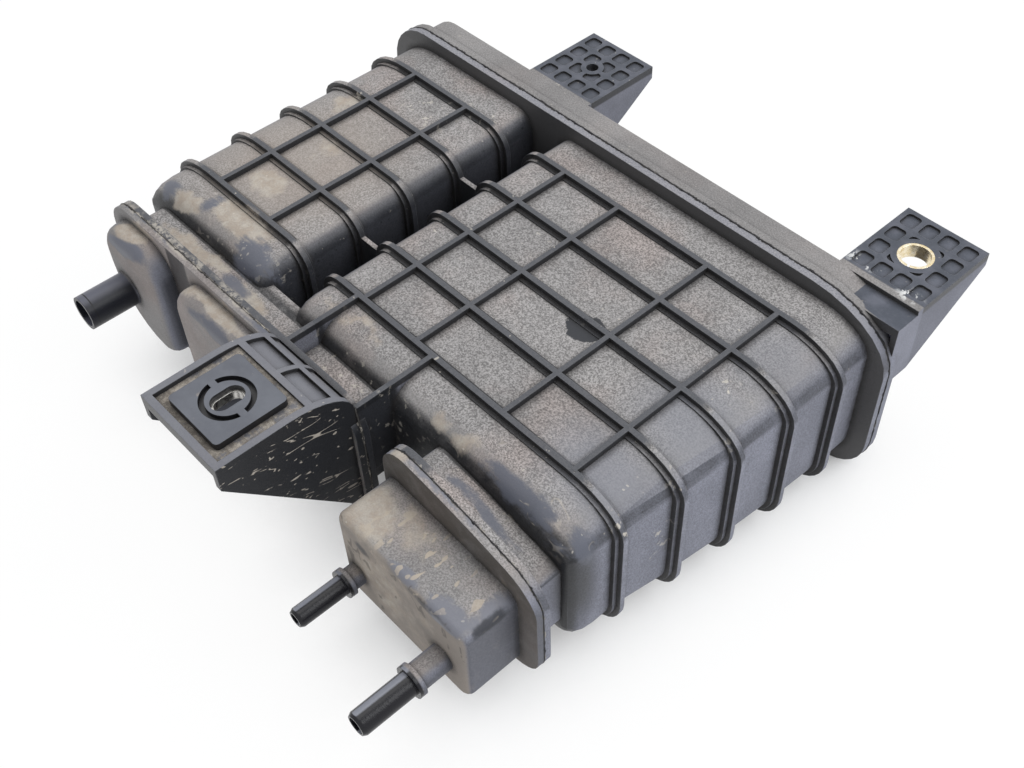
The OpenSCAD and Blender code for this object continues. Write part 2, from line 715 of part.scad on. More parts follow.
module bracket() {
    hollow_drop = recess_depth + bracket_wall;
    hollow_y = bracket_front_y + bracket_wall;
    lip_z = bracket_top - bracket_lip_h;
    foot_z = bracket_top - gusset_drop + bracket_front_h - bracket_lip_h;
    difference() {
        side_plate(bracket_x0, bracket_w, bracket_outline(0));
        side_plate(bracket_x0 + bracket_wall, bracket_w - 2 * bracket_wall,
            [[bracket_front_y - fuse, 0], [bracket_front_y - fuse, lip_z], [bracket_front_y, lip_z],
                [cap_y, foot_z], [cap_y, 0]]);
        intersection() {
            side_plate(bracket_x0, bracket_w, bracket_outline(hollow_drop));
            bracket_columns(bracket_wall, hollow_y, cap_y, 0, bracket_top);
        }
        bracket_columns(bracket_wall, hollow_y, cap_y, 0, bracket_top - bracket_front_h + fuse);
        block([bracket_x0 + bracket_wall, recess_y0, recess_floor],
            [bracket_x1 - bracket_wall, recess_y1, bracket_top + fuse]);
        shoulder_pockets();
        pad_slot(0, bracket_top + fuse, slot_len + 2 * press_gap, slot_w + 2 * press_gap);
    }
}

// Outline of a vent cap lobe between two stations, inset by i
function lobe_section(x0, x1, corners, i) =
    section(x0, x1, vent_z0 + lobe_in, vent_z1 - lobe_in, corners, i, i);

// One lobe of the vent cap, with rounded front edges
module lobe(x0, x1, corners, depth) {
    front = [for (d = edge_insets(lobe_r)) lobe_section(x0, x1, corners, d)];
    foot = [cap_y + cap_flange_t / 2, lobe_section(x0, x1, corners, 0)];
    loft(concat(rounded(cap_y - depth, lobe_r, front), [foot]));
}

// Hollow of a lobe, open to the weld
module lobe_hollow(x0, x1, corners, depth) {
    slab(cap_y - depth + wall, depth - wall + cap_flange_t + fuse,
        lobe_section(x0, x1, corners, lobe_r + wall / 2));
}

module vent_cap() color("#47433e") placed() {
    panel_x0 = lobe_x1 + valley_w;
    panel_x1 = bracket_x0 + fuse;
    difference() {
        union() {
            slab(cap_y, cap_flange_t, vent_section());
            lobe(lobe_x0, lobe_x1, lobe_corners, lobe_d);
            lobe(panel_x0, panel_x1, cap_corners, panel_d);
            bracket();
            rod(port_x, lobe_front_y - port_len, cap_y, port_z, port_d);
        }
        lobe_hollow(lobe_x0, lobe_x1, lobe_corners, lobe_d);
        lobe_hollow(panel_x0, panel_x1, cap_corners, panel_d);
        rod(port_x, lobe_front_y - port_len - fuse, cap_weld_y, port_z, port_d - 2 * spigot_wall);
    }
}

// A hose spigot that points along -Y from station y: base, bead, tube and rounded tip
module spigot(x, y, d, length, bead) {
    r = d / 2;
    translate([x, y, spigot_z])
        rotate([90, 0, 0])
            rotate_extrude()
                polygon([[r - spigot_wall, -fuse], [r + spigot_base, -fuse], [r + spigot_base, bead],
                    [r + bead_h, bead], [r + bead_h, bead + bead_w], [r, bead + bead_w],
                    [r, length - tip_len], [r - spigot_wall / 2, length], [r - spigot_wall, length]]);
}

module purge_cap() color("#4d4842") placed() {
    front = [for (d = edge_insets(box_r)) box_section(d)];
    difference() {
        union() {
            slab(cap_y, cap_flange_t, purge_section());
            loft(concat(rounded(box_front_y, box_r, front), [[cap_y + cap_flange_t / 2, box_section(0)]]));
        }
        slab(box_front_y + wall, cap_weld_y - box_front_y, box_section(box_r + wall / 2));
        rod(purge_x, box_front_y - fuse, box_front_y + wall + fuse, spigot_z, purge_d - 2 * spigot_wall);
        rod(tank_x, box_front_y - fuse, box_front_y + wall + fuse, spigot_z, tank_d - 2 * spigot_wall);
    }
    spigot(purge_x, box_front_y, purge_d, purge_len, purge_bead);
    spigot(tank_x, box_front_y, tank_d, tank_len, tank_bead);
}

module bracket_pad() color("#3b4048") placed() {
    half = pad_size / 2;
    difference() {
        translate([0, 0, recess_floor])
            linear_extrude(pad_t)
                polygon(section(pad_x - half, pad_x + half, pad_y - half, pad_y + half, pad_corners));
        pad_slot(0, pad_top + fuse, slot_len + 2 * press_gap, slot_w + 2 * press_gap);
        difference() {
            translate([pad_x, pad_y, pad_top - groove_w])
                rotate_extrude()
                    translate([(groove_d - groove_w) / 2, 0])
                        square([groove_w, groove_w + fuse]);
            translate([pad_x, pad_y, 0])
                block([-groove_d, -bridge_w / 2, 0], [groove_d, bridge_w / 2, pad_top + 2 * fuse]);
        }
    }
}

module pad_sleeve() color("#c9c9c4") placed() {
    z0 = recess_floor - bracket_wall;
    difference() {
        pad_slot(z0, pad_top - sleeve_drop, slot_len, slot_w);
        pad_slot(z0 - fuse, pad_top + fuse, slot_len - 2 * sleeve_wall, slot_w - 2 * sleeve_wall);
    }
}

module tab_bush() color("#c8a85a") placed() {
    translate([bush_x, bush_y, tab_top - tab_t])
        difference() {
            cylinder(h = tab_t, d = bush_d);
            translate([0, 0, -fuse])
                cylinder(h = tab_t + 2 * fuse, d = bush_bore);
            rotate([0, 0, slit_turn])
                block([0, -bush_slit / 2, -fuse], [bush_d, bush_slit / 2, tab_t + fuse]);
        }
}

// A block of filling in a chamber from y0 to y1, through the hoop stations between them
module filling(vent, y0, y1) {
    ix = hoop_side_h + wall + fill_gap;
    iz = rib_h + wall + fill_gap;
    hoop_ys = [for (h = [0:hoop_count - 1]) h * hoop_pitch];
    between = [for (y = hoop_ys) if (y > y0 + fuse && y < y1 - fuse) y];
    loft([for (y = concat([y0], between, [y1])) [y, chamber_section(vent, y, ix, iz)]]);
}

// Slots of a screen or plate from station y, two rows across a chamber's width
module grid_slots(vent, y) {
    x0 = vent ? vent_x0 : main_x0;
    x1 = vent ? vent_x1 : main_x1;
    pitch = grid_slot + grid_bar;
    columns = floor((x1 - x0 - 2 * (hoop_side_h + wall + grid_rim) + grid_bar) / pitch);
    first = (x0 + x1 - columns * pitch + grid_bar) / 2;
    low = z_bot + bottom_rise + rib_h + wall + grid_rim;
    high = z_top - rib_h - wall - grid_rim;
    for (i = [0:columns - 1], row = [[low, z_mid - grid_bar / 2], [z_mid + grid_bar / 2, high]])
        block([first + i * pitch, y - fuse, row[0]],
            [first + i * pitch + grid_slot, y + plate_t + fuse, row[1]]);
}

// A slotted screen from station y
module screen(vent) {
    difference() {
        filling(vent, screen_y, screen_y + plate_t);
        grid_slots(vent, screen_y);
    }
}

// A slotted retaining plate with a seat and a peg for each spring
module retaining_plate(vent, spring_xs) {
    difference() {
        filling(vent, plate_y, plate_y + plate_t);
        grid_slots(vent, plate_y);
    }
    for (x = spring_xs) {
        rod(x, plate_y, plate_y + plate_t, z_mid, spring_d + grid_bar);
        rod(x, plate_y + plate_t / 2, plate_y + plate_t + peg_h, z_mid, peg_d);
    }
}

// Height of a spring's wire after t turns, with one closed turn at each end
function coil_rise(t, length) =
    let (closed = wire_d * closed_pitch, open = (length - wire_d - 2 * closed) / (spring_turns - 2))
    wire_d / 2 + min(t, 1) * closed + max(0, min(t, spring_turns - 1) - 1) * open
        + max(0, t - spring_turns + 1) * closed;

// A compression spring along Y between the retaining plate and the cover
module spring(x) {
    length = spring_y1 - spring_y0 - 2 * spring_gap;
    rings = spring_turns * turn_steps;
    mean_r = (spring_d - wire_d) / 2;
    points = [for (i = [0:rings], j = [0:wire_steps - 1])
        let (a = 360 * i / turn_steps, b = 360 * j / wire_steps, r = mean_r + wire_d / 2 * cos(b))
        [r * cos(a), r * sin(a), coil_rise(i / turn_steps, length) + wire_d / 2 * sin(b)]];
    sides = [for (i = [0:rings - 1], j = [0:wire_steps - 1])
        let (k = (j + 1) % wire_steps, m = i * wire_steps, n = m + wire_steps)
        each [[m + j, m + k, n + k], [m + j, n + k, n + j]]];
    ends = [[for (j = [wire_steps - 1:-1:0]) j], [for (j = [0:wire_steps - 1]) rings * wire_steps + j]];
    translate([x, spring_y0 + spring_gap, z_mid])
        rotate([-90, 0, 0])
            polyhedron(points, concat(sides, ends));
}

module main_screen() color("#26272a") placed() screen(false);
module main_front_felt() color("#8c8a80") placed() filling(false, front_felt_y, bed_y);
module main_carbon_bed() color("#151515") placed() filling(false, bed_y, rear_felt_y);
module main_rear_felt() color("#8c8a80") placed() filling(false, rear_felt_y, plate_y);
module main_retaining_plate() color("#26272a") placed()
    retaining_plate(false, [main_inner_spring_x, main_outer_spring_x]);
module main_spring_inner() color("#b9b9b4") placed() spring(main_inner_spring_x);
module main_spring_outer() color("#b9b9b4") placed() spring(main_outer_spring_x);
module vent_screen() color("#26272a") placed() screen(true);
module vent_front_felt() color("#8c8a80") placed() filling(true, front_felt_y, bed_y);
module vent_carbon_bed() color("#151515") placed() filling(true, bed_y, rear_felt_y);
module vent_rear_felt() color("#8c8a80") placed() filling(true, rear_felt_y, plate_y);
module vent_retaining_plate() color("#26272a") placed() retaining_plate(true, [vent_spring_x]);
module vent_spring() color("#b9b9b4") placed() spring(vent_spring_x);

canister_body();
rear_cover();
vent_cap();
purge_cap();
bracket_pad();
pad_sleeve();
tab_bush();
main_screen();
main_front_felt();
main_carbon_bed();
main_rear_felt();
main_retaining_plate();
main_spring_inner();
main_spring_outer();
vent_screen();
vent_front_felt();
vent_carbon_bed();
vent_rear_felt();
vent_retaining_plate();
vent_spring();
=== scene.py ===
import json
import math

import bpy
from mathutils import Euler, Matrix, Vector, noise


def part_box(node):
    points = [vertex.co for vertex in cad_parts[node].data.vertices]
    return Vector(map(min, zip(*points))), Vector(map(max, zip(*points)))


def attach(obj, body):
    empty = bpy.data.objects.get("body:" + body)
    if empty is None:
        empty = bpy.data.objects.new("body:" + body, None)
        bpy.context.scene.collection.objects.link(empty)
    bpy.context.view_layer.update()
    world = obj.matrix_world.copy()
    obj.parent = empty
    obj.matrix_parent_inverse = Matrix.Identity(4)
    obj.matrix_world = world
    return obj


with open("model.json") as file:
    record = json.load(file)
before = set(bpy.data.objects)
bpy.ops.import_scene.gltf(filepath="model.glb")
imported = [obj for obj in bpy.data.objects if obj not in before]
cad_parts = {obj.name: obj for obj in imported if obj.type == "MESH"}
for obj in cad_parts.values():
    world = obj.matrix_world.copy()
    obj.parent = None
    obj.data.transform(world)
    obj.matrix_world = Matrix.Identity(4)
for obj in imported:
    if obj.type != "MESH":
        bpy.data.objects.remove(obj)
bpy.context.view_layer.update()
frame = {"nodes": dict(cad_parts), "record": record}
nodes = frame["nodes"]
mounts = {mount["name"]: mount for mount in frame["record"]["mounts"]}
scene = bpy.context.scene
MM = 0.001


# Places in millimetres, from the frame

def low_mm(node):
    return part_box(node)[0] / MM


def high_mm(node):
    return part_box(node)[1] / MM


def mount_mm(name):
    return Vector(mounts[name]["pos_m"]) / MM


def length_mm(name):
    return mounts[name]["dims"]["length_mm"]


REAR_WELD = low_mm("rear_cover").y
CAP_WELD = high_mm("vent_cap").y
TAB_TOP = high_mm("tab_bush").z
PAD_TOP = high_mm("bracket_pad").z
RECESS_FLOOR = low_mm("bracket_pad").z
PORT = mount_mm("air_port")
PORT_RADIUS = mounts["air_port"]["dims"]["r_mm"]
PORT_TIP = PORT.y - length_mm("air_port") / 2
PORT_ROOT = PORT.y + length_mm("air_port") / 2
TANK_BEAD = mount_mm("tank_spigot").y + length_mm("tank_spigot") / 2
PURGE_BEAD = mount_mm("purge_spigot").y + length_mm("purge_spigot") / 2
BETWEEN_SPIGOTS = mount_mm("tank_spigot").x - 13.5


# Places in millimetres that no node or mount gives

RIB_TOP = 79.0
SKIN_TOP = RIB_TOP - 2.6
GAP_LEFT = -45.0
GAP_RIGHT = -32.0
NOSE_FRONT = -63.4
COVER_BACK = 99.8
TAB_CORNER = 100.0
BRACKET_LEFT = -11.9
BRACKET_RIGHT = 33.25
RECESS_BACK = -95.0
VALLEY_X = -78.0
BOX_FRONT = -104.6


# Colours

def rgb(r, g, b):
    return (r, g, b, 1.0)


WHITE = rgb(1.0, 1.0, 1.0)
SKY = rgb(0.96, 0.98, 1.0)
BLACK = rgb(0.009, 0.009, 0.011)
PLASTIC = rgb(0.018, 0.019, 0.022)
BARE_PLASTIC = rgb(0.026, 0.028, 0.034)
RIB_PLASTIC = rgb(0.058, 0.062, 0.073)
TAB_PLASTIC = rgb(0.060, 0.068, 0.088)
DECK_PLASTIC = rgb(0.175, 0.180, 0.202)
PORT_DARK = rgb(0.010, 0.011, 0.016)
# Painted sheen on the air port's upper left side
PORT_SHEEN = rgb(0.098, 0.101, 0.128)
STUB_DARK = rgb(0.006, 0.006, 0.009)
# Painted highlight on the hose stubs
STUB_HIGHLIGHT = rgb(0.240, 0.248, 0.285)
PAD_DARK = rgb(0.074, 0.080, 0.100)
PAD_LIGHT = rgb(0.110, 0.118, 0.140)
HAZE = rgb(0.112, 0.119, 0.148)
PURGE_HAZE = rgb(0.165, 0.170, 0.200)
BLUE_HAZE = rgb(0.205, 0.212, 0.243)
# Worn edges, lightened further as a painted highlight
EDGE = rgb(0.285, 0.290, 0.312)
# Dust on the sides, tinted blue-grey as a painted sheen
SIDE_DUST_AND_SHEEN = rgb(0.222, 0.228, 0.272)
GREY_DUST = rgb(0.268, 0.257, 0.254)
MAUVE_DUST = rgb(0.292, 0.258, 0.246)
WARM_DUST = rgb(0.345, 0.297, 0.258)
TAN_DUST = rgb(0.372, 0.312, 0.255)
PALE_DUST = rgb(0.450, 0.405, 0.350)
BOX_DARK = rgb(0.210, 0.185, 0.162)
BOX_LIGHT = rgb(0.320, 0.275, 0.235)
SAND = rgb(0.200, 0.175, 0.152)
SMEAR = rgb(0.420, 0.385, 0.340)
DROPS = rgb(0.460, 0.395, 0.320)
CLAY = rgb(0.560, 0.520, 0.460)
# Small white spots on the cover
WHITE_SPOT = rgb(0.700, 0.700, 0.690)
DRIPS = rgb(0.100, 0.090, 0.080)
# Dirt and painted shade on the purge flange's face
FLANGE_DIRT_AND_SHADE = rgb(0.052, 0.044, 0.037)
# Painted shade in corners, with some dark dirt
CORNER_SHADE_AND_GRIME = rgb(0.022, 0.020, 0.019)
PAPER_DARK = rgb(0.930, 0.930, 0.930)
PAPER_LIGHT = rgb(0.950, 0.950, 0.950)


# Camera, lamps and world

CAMERA_PLACE = (0.289516, -0.225523, 0.419243)
CAMERA_DEGREES = (41.2656, 1.70629, 47.52484)
CAMERA_LENS = 45.35
LAMP_TARGET = Vector((0.0, 0.0, 0.04))
SKY_STRENGTH = 0.72


def make_camera():
    data = bpy.data.cameras.new("camera")
    data.sensor_width = 36.0
    data.lens = CAMERA_LENS
    data.clip_start, data.clip_end = 0.01, 50.0
    obj = bpy.data.objects.new("camera", data)
    scene.collection.objects.link(obj)
    turn = Euler([math.radians(angle) for angle in CAMERA_DEGREES])
    obj.matrix_world = Matrix.LocRotScale(Vector(CAMERA_PLACE), turn, None)
    scene.camera = obj


def make_lamp(name, place, size, power, colour):
    """A round lamp that points at the object."""
    data = bpy.data.lights.new(name, "AREA")
    data.shape = "DISK"
    data.size = size
    data.energy = power
    data.color = colour
    obj = bpy.data.objects.new(name, data)
    scene.collection.objects.link(obj)
    obj.location = place
    obj.rotation_mode = "QUATERNION"
    obj.rotation_quaternion = (LAMP_TARGET - Vector(place)).to_track_quat("-Z", "Y")


def seen_rays(tree):
    """1 for the rays that look at a background: straight, mirrored or through glass."""
    path = tree.nodes.new("ShaderNodeLightPath")
    seen = path.outputs["Is Camera Ray"]
    for kind in ("Is Glossy Ray", "Is Transmission Ray"):
        either = tree.nodes.new("ShaderNodeMath")
        either.operation = "MAXIMUM"
        tree.links.new(seen, either.inputs[0])
        tree.links.new(path.outputs[kind], either.inputs[1])
        seen = either.outputs[0]
    return seen


def background(tree, colour, strength):
    made = tree.nodes.new("ShaderNodeBackground")
    made.inputs["Color"].default_value = colour
    made.inputs["Strength"].default_value = strength
    return made.outputs[0]


def make_world():
    """A pale sky that lights the object, and plain white where it is seen."""
    world = bpy.data.worlds.new("studio")
    world.use_nodes = True
    scene.world = world
    tree = world.node_tree
    tree.nodes.clear()
    out = tree.nodes.new("ShaderNodeOutputWorld")
    mix = tree.nodes.new("ShaderNodeMixShader")
    tree.links.new(seen_rays(tree), mix.inputs[0])
    tree.links.new(background(tree, SKY, SKY_STRENGTH), mix.inputs[1])
    tree.links.new(background(tree, WHITE, 1.0), mix.inputs[2])
    tree.links.new(mix.outputs[0], out.inputs[0])


# Shader graphs

class Graph:
    """Builds one material's nodes. Most helpers return a socket, and lengths are in millimetres."""

    def __init__(self, name):
        self.material = bpy.data.materials.new(name)
        self.material.use_nodes = True
        self.tree = self.material.node_tree
        self.tree.nodes.clear()
        metres = self.add("ShaderNodeTexCoord").outputs["Object"]
        self.place = self.vector("SCALE", metres, Scale=1 / MM)
        self.x, self.y, self.z = self.add("ShaderNodeSeparateXYZ", {0: self.place}).outputs
        self.normal = self.add("ShaderNodeNewGeometry").outputs["Normal"]
        self.nx, self.ny, self.nz = self.add("ShaderNodeSeparateXYZ", {0: self.normal}).outputs

    def add(self, kind, sockets=None, **settings):
        """A node, with each socket linked or set to a constant."""
        made = self.tree.nodes.new(kind)
        for key, value in settings.items():
            setattr(made, key, value)
        for key, value in (sockets or {}).items():
            if isinstance(value, bpy.types.NodeSocket):
                self.tree.links.new(value, made.inputs[key])
            else:
                made.inputs[key].default_value = value
        return made

    def vector(self, operation, a, b=None, **sockets):
        inputs = {0: a, **sockets}
        if b is not None:
            inputs[1] = b
        made = self.add("ShaderNodeVectorMath", inputs, operation=operation)
        return made.outputs["Value" if operation in ("LENGTH", "DOT_PRODUCT") else "Vector"]

    def math(self, operation, a, b=0.0):
        return self.add("ShaderNodeMath", {0: a, 1: b}, operation=operation).outputs[0]

    def both(self, *masks):
        """Product of several masks."""
        product = masks[0]
        for mask in masks[1:]:
            product = self.math("MULTIPLY", product, mask)
        return product

    def ramp(self, value, low, high, start=0.0, end=1.0):
        """A smooth step from start to end while the value goes from low to high."""
        sockets = {0: value, 1: low, 2: high, 3: start, 4: end}
        made = self.add("ShaderNodeMapRange", sockets, interpolation_type="SMOOTHSTEP", clamp=True)
        return made.outputs[0]

    def lerp(self, mask, a, b):
        """A number that goes from a to b with the mask."""
        sockets = {0: mask, 3: a, 4: b}
        return self.add("ShaderNodeMapRange", sockets, clamp=True).outputs[0]

    def mix(self, mask, a, b):
        """A colour that goes from a to b with the mask."""
        return self.add("ShaderNodeMix", {0: mask, 6: a, 7: b}, data_type="RGBA").outputs[2]

    def noise(self, size, detail=4.0, rough=0.6, stretch=None, tilt=None):
        """Noise whose lumps are about so many millimetres across, tilted about X and stretched."""
        at = self.place
        if tilt:
            sockets = {"Vector": at, "Angle": tilt}
            at = self.add("ShaderNodeVectorRotate", sockets, rotation_type="X_AXIS").outputs[0]
        if stretch:
            at = self.vector("MULTIPLY", at, stretch)
        sockets = {"Vector": at, "Scale": 1 / size, "Detail": detail, "Roughness": rough}
        return self.add("ShaderNodeTexNoise", sockets).outputs["Fac"]

    def rounded(self, radius, samples):
        """The normal as if every edge were rounded."""
        return self.add("ShaderNodeBevel", {"Radius": radius * MM}, samples=samples).outputs[0]

    def openness(self, reach, samples):
        """1 in the open and less in a corner or near another piece."""
        sockets = {"Distance": reach * MM}
        return self.add("ShaderNodeAmbientOcclusion", sockets, samples=samples).outputs["AO"]

    def patches(self, spots, at=None):
        """Soft ellipsoids: each is a middle, its radii and a strength."""
        total = None
        for middle, radii, strength in spots:
            away = self.vector("SUBTRACT", at or self.place, middle)
            scaled = self.vector("MULTIPLY", away, tuple(1 / r for r in radii))
            one = self.ramp(self.vector("LENGTH", scaled), 0.25, 1.25, strength, 0.0)
            total = one if total is None else self.math("MAXIMUM", total, one)
        return total

    def torn(self, field, lumps, spread):
        """A soft field cut off along a ragged edge."""
        pushed = self.math("ADD", field, self.ramp(lumps, 0.25, 0.75, -0.30, 0.30))
        return self.ramp(pushed, 0.5 - spread, 0.5 + spread)

    def band(self, value, middle, inner, outer):
        """1 near a value and 0 away from it."""
        away = self.math("ABSOLUTE", self.math("SUBTRACT", value, middle))
        return self.ramp(away, inner, outer, 1.0, 0.0)

    def hairlines(self, size, width, stretch, tilt=None):
        """Thin wandering lines, drawn where a noise crosses its middle value."""
        return self.band(self.noise(size, 2.0, 0.5, stretch, tilt), 0.5, 0.3 * width, width)

    def bump(self, height, strength, distance, normal=None):
        sockets = {"Height": height, "Strength": strength, "Distance": distance * MM}
        if normal is not None:
            sockets["Normal"] = normal
        return self.add("ShaderNodeBump", sockets).outputs[0]

    def shader(self, colour, roughness, normal=None, metallic=0.0, specular=0.5):
        sockets = {
            "Base Color": colour,
            "Roughness": roughness,
            "Metallic": metallic,
            "Specular IOR Level": specular,
        }
        if normal is not None:
            sockets["Normal"] = normal
        return self.add("ShaderNodeBsdfPrincipled", sockets).outputs[0]

    def finish(self, surface):
        """The material, with this surface."""
        self.add("ShaderNodeOutputMaterial", {"Surface": surface})
        return self.material


# Moulded shells: black plastic under a film of road dust, with painted shade and painted highlights

SHELL_SPECULAR = 0.3


class Shell(Graph):
    """A moulding's colour and roughness, built up layer by layer."""

    def __init__(self, name, up, side, front, back, speckle=1.0, warmth=1.0):
        """Takes how much dust lies on the faces that look up, sideways, to the front and to the back."""
        super().__init__(name)
        self.speckle = speckle
        self.warmth = warmth
        self.grain = self.noise(0.65, 2.0, 0.7)
        self.pits = self.noise(1.7, 2.0, 0.6)
        self.lumps = self.noise(9.0, 5.0, 0.62)
        self.mottle = self.noise(30.0, 4.0, 0.62)
        sockets = {"Vector": self.place, "Scale": 1 / 24.0, "Detail": 4.0}
        wander = self.add("ShaderNodeTexNoise", sockets).outputs["Color"]
        self.push = self.vector("SUBTRACT", wander, (0.5, 0.5, 0.5))
        self.soft = self.rounded(0.5, 2)
        self.open = self.openness(3.2, 2)
        self.upward = self.ramp(self.nz, 0.15, 0.80)
        self.sideways = self.ramp(self.math("ABSOLUTE", self.nx), 0.40, 0.85)
        self.forward = self.ramp(self.ny, -0.80, -0.40, 1.0, 0.0)
        self.backward = self.ramp(self.ny, 0.40, 0.80)
        self.upright = self.ramp(self.nz, 0.30, 0.70, 1.0, 0.0)
        amount = self.lerp(self.forward, side, front)
        amount = self.lerp(self.backward, amount, back)
        self.amount = self.lerp(self.upward, amount, up)

    def warped(self, amount):
        """The place, pushed about by noise."""
        return self.vector("ADD", self.place, self.vector("SCALE", self.push, Scale=amount))

    def thin(self, mask, keep):
        """Leaves only a share of the film."""
        self.amount = self.math("MULTIPLY", self.amount, self.lerp(mask, 1.0, keep))

    def settle(self):
        """Turns the film into a colour, speckled and cloudy."""
        amount = self.math("MULTIPLY", self.amount, self.ramp(self.mottle, 0.28, 0.72, 0.82, 1.12))
        pitted = self.ramp(self.pits, 0.64, 0.76, 0.0, 0.20 * self.speckle)
        self.amount = self.math("MAXIMUM", self.math("SUBTRACT", amount, pitted), 0.0)
        warm = self.ramp(self.noise(46.0, 5.0, 0.6), 0.42, 0.66, 0.0, self.warmth)
        dust = self.mix(warm, GREY_DUST, MAUVE_DUST)
        # Sideways faces take a bluer dust colour: a painted sheen
        dust = self.mix(self.sideways, dust, SIDE_DUST_AND_SHEEN)
        coarse = 0.46 * self.speckle
        sandy = self.ramp(self.grain, 0.34, 0.66, -coarse, coarse)
        sandy = self.both(sandy, self.ramp(self.nz, 0.90, 0.99, 0.45, 1.0))
        brightness = self.math("ADD", sandy, 1.0)
        self.colour = self.vector("SCALE", self.mix(self.amount, PLASTIC, dust), Scale=brightness)
        self.rough = self.ramp(self.amount, 0.0, 0.8, 0.36, 0.74)

    def coat(self, mask, colour, rough):
        """Lays a colour and a roughness over what is there."""
        self.colour = self.mix(mask, self.colour, colour)
        self.rough = self.lerp(mask, self.rough, rough)

    def shade_and_grime_corners(self):
        """Painted shade in the corners and beside other pieces, where little light reaches, with some dark
        dirt.
        """
        ragged = self.ramp(self.noise(2.2, 4.0, 0.7), 0.30, 0.70, -0.18, 0.18)
        corner = self.ramp(self.math("ADD", self.open, ragged), 0.84, 0.58)
        self.coat(self.both(corner, self.ramp(self.lumps, 0.30, 0.60, 0.6, 1.0), 0.85), CORNER_SHADE_AND_GRIME, 0.75)

    def edges_worn_and_highlighted(self):
        """A paler line along each sharp outer edge: wear, and a painted highlight where the edge would
        catch the light.
        """
        edge = self.ramp(self.vector("DOT_PRODUCT", self.normal, self.soft), 0.99, 0.88)
        self.coat(self.both(edge, self.ramp(self.open, 0.84, 0.96), 0.45), EDGE, 0.5)

    def muddy(self, spots, spread=0.20):
        """Dried mud with a ragged edge."""
        field = self.patches(spots, self.warped(9.0))
        mud = self.mix(self.ramp(self.noise(5.0, 5.0, 0.7), 0.35, 0.65), TAN_DUST, PALE_DUST)
        mud = self.mix(self.ramp(self.grain, 0.30, 0.60, 0.30, 0.0), mud, GREY_DUST)
        self.coat(self.both(self.torn(field, self.lumps, spread), 0.90), mud, 0.85)

    def wiped(self, spots, colour=HAZE):
        """Dust rubbed off, down to hazy plastic."""
        field = self.patches(spots, self.warped(8.0))
        streaks = self.noise(7.0, 5.0, 0.65, (0.6, 1.6, 1.0))
        self.coat(self.both(self.torn(field, streaks, 0.24), 0.92), colour, 0.42)

    def splashed(self, spots):
        """Long dried drops."""
        drops = self.ramp(self.noise(3.0, 1.5, 0.5, (0.9, 0.40, 1.0)), 0.60, 0.635)
        self.coat(self.both(self.patches(spots), drops, 0.85), DROPS, 0.85)

    def chipped(self, spots, rare=0.60, colour=CLAY):
        """Small pale chips of clay, or of another colour."""
        chips = self.ramp(self.noise(3.4, 3.0, 0.55), rare, rare + 0.05)
        self.coat(self.both(self.patches(spots), chips), colour, 0.9)

    def crumbs(self, share):
        """Specks of clay all over the upper side."""
        dots = self.ramp(self.noise(2.1, 1.0, 0.4), 0.735, 0.765)
        near = self.ramp(self.noise(18.0, 2.0), 0.45, 0.65)
        self.coat(self.both(dots, near, self.ramp(self.nz, 0.0, 0.4), share), CLAY, 0.9)

    def scratched(self, mask, size, width, stretch, colour, share, tilt=None):
        """Fine strokes, broken here and there."""
        lines = self.hairlines(size, width, stretch, tilt)
        broken = self.ramp(self.noise(6.0, 2.0), 0.50, 0.58)
        self.coat(self.both(mask, lines, broken, share), colour, 0.8)

    def seam(self, middle, inner, outer, clay):
        """A dark ragged line along a weld, with some clay in it."""
        ragged = self.math("ADD", self.y, self.ramp(self.noise(2.4, 4.0, 0.7), 0.3, 0.7, -0.5, 0.5))
        line = self.band(ragged, middle, inner, outer)
        fill = self.ramp(self.noise(5.5, 4.0), 0.45, 0.58, 0.0, clay)
        self.coat(line, self.mix(fill, BLACK, CLAY), 0.8)

    def done(self):
        """The material, with the grain and the lumps as relief."""
        relief = self.bump(self.grain, 0.30, 0.25, self.soft)
        relief = self.bump(self.lumps, 0.12, 0.8, relief)
        return self.finish(self.shader(self.colour, self.rough, relief, specular=SHELL_SPECULAR))


# The marks on each shell: middle, radii and strength

BODY_MUD = (
    ((-106, -56, 73), (12, 6, 7), 0.95),
    ((-79, -50, 75), (22, 9, 7), 1.10),
    ((-90, -28, 76), (12, 9, 5), 0.85),
    ((-84, -69, 68), (34, 6, 5), 0.80),
    ((-112, 30, 76), (9, 14, 5), 0.62),
    ((-91, 3, 76), (18, 10, 5), 0.52),
    ((-48, -69, 68), (18, 6, 6), 0.62),
    ((66, -58, 74), (22, 8, 6), 0.46),
    ((-4, -52, 76), (26, 7, 6), 0.44),
    ((4, -72, 72), (18, 6, 8), 0.58),
)
BODY_WIPES = (
    ((-61, -56, 69), (15, 9, 11), 1.35),
    ((-121, -57, 74), (9, 7, 7), 0.85),
    ((-97, -52, 75), (5, 9, 5), 0.62),
    ((-57, -69, 68), (10, 5, 5), 0.72),
    ((97, -57, 71), (24, 6, 9), 0.95),
    ((118, -55, 66), (12, 9, 11), 0.85),
    ((90, -69, 66), (34, 4, 10), 0.62),
)
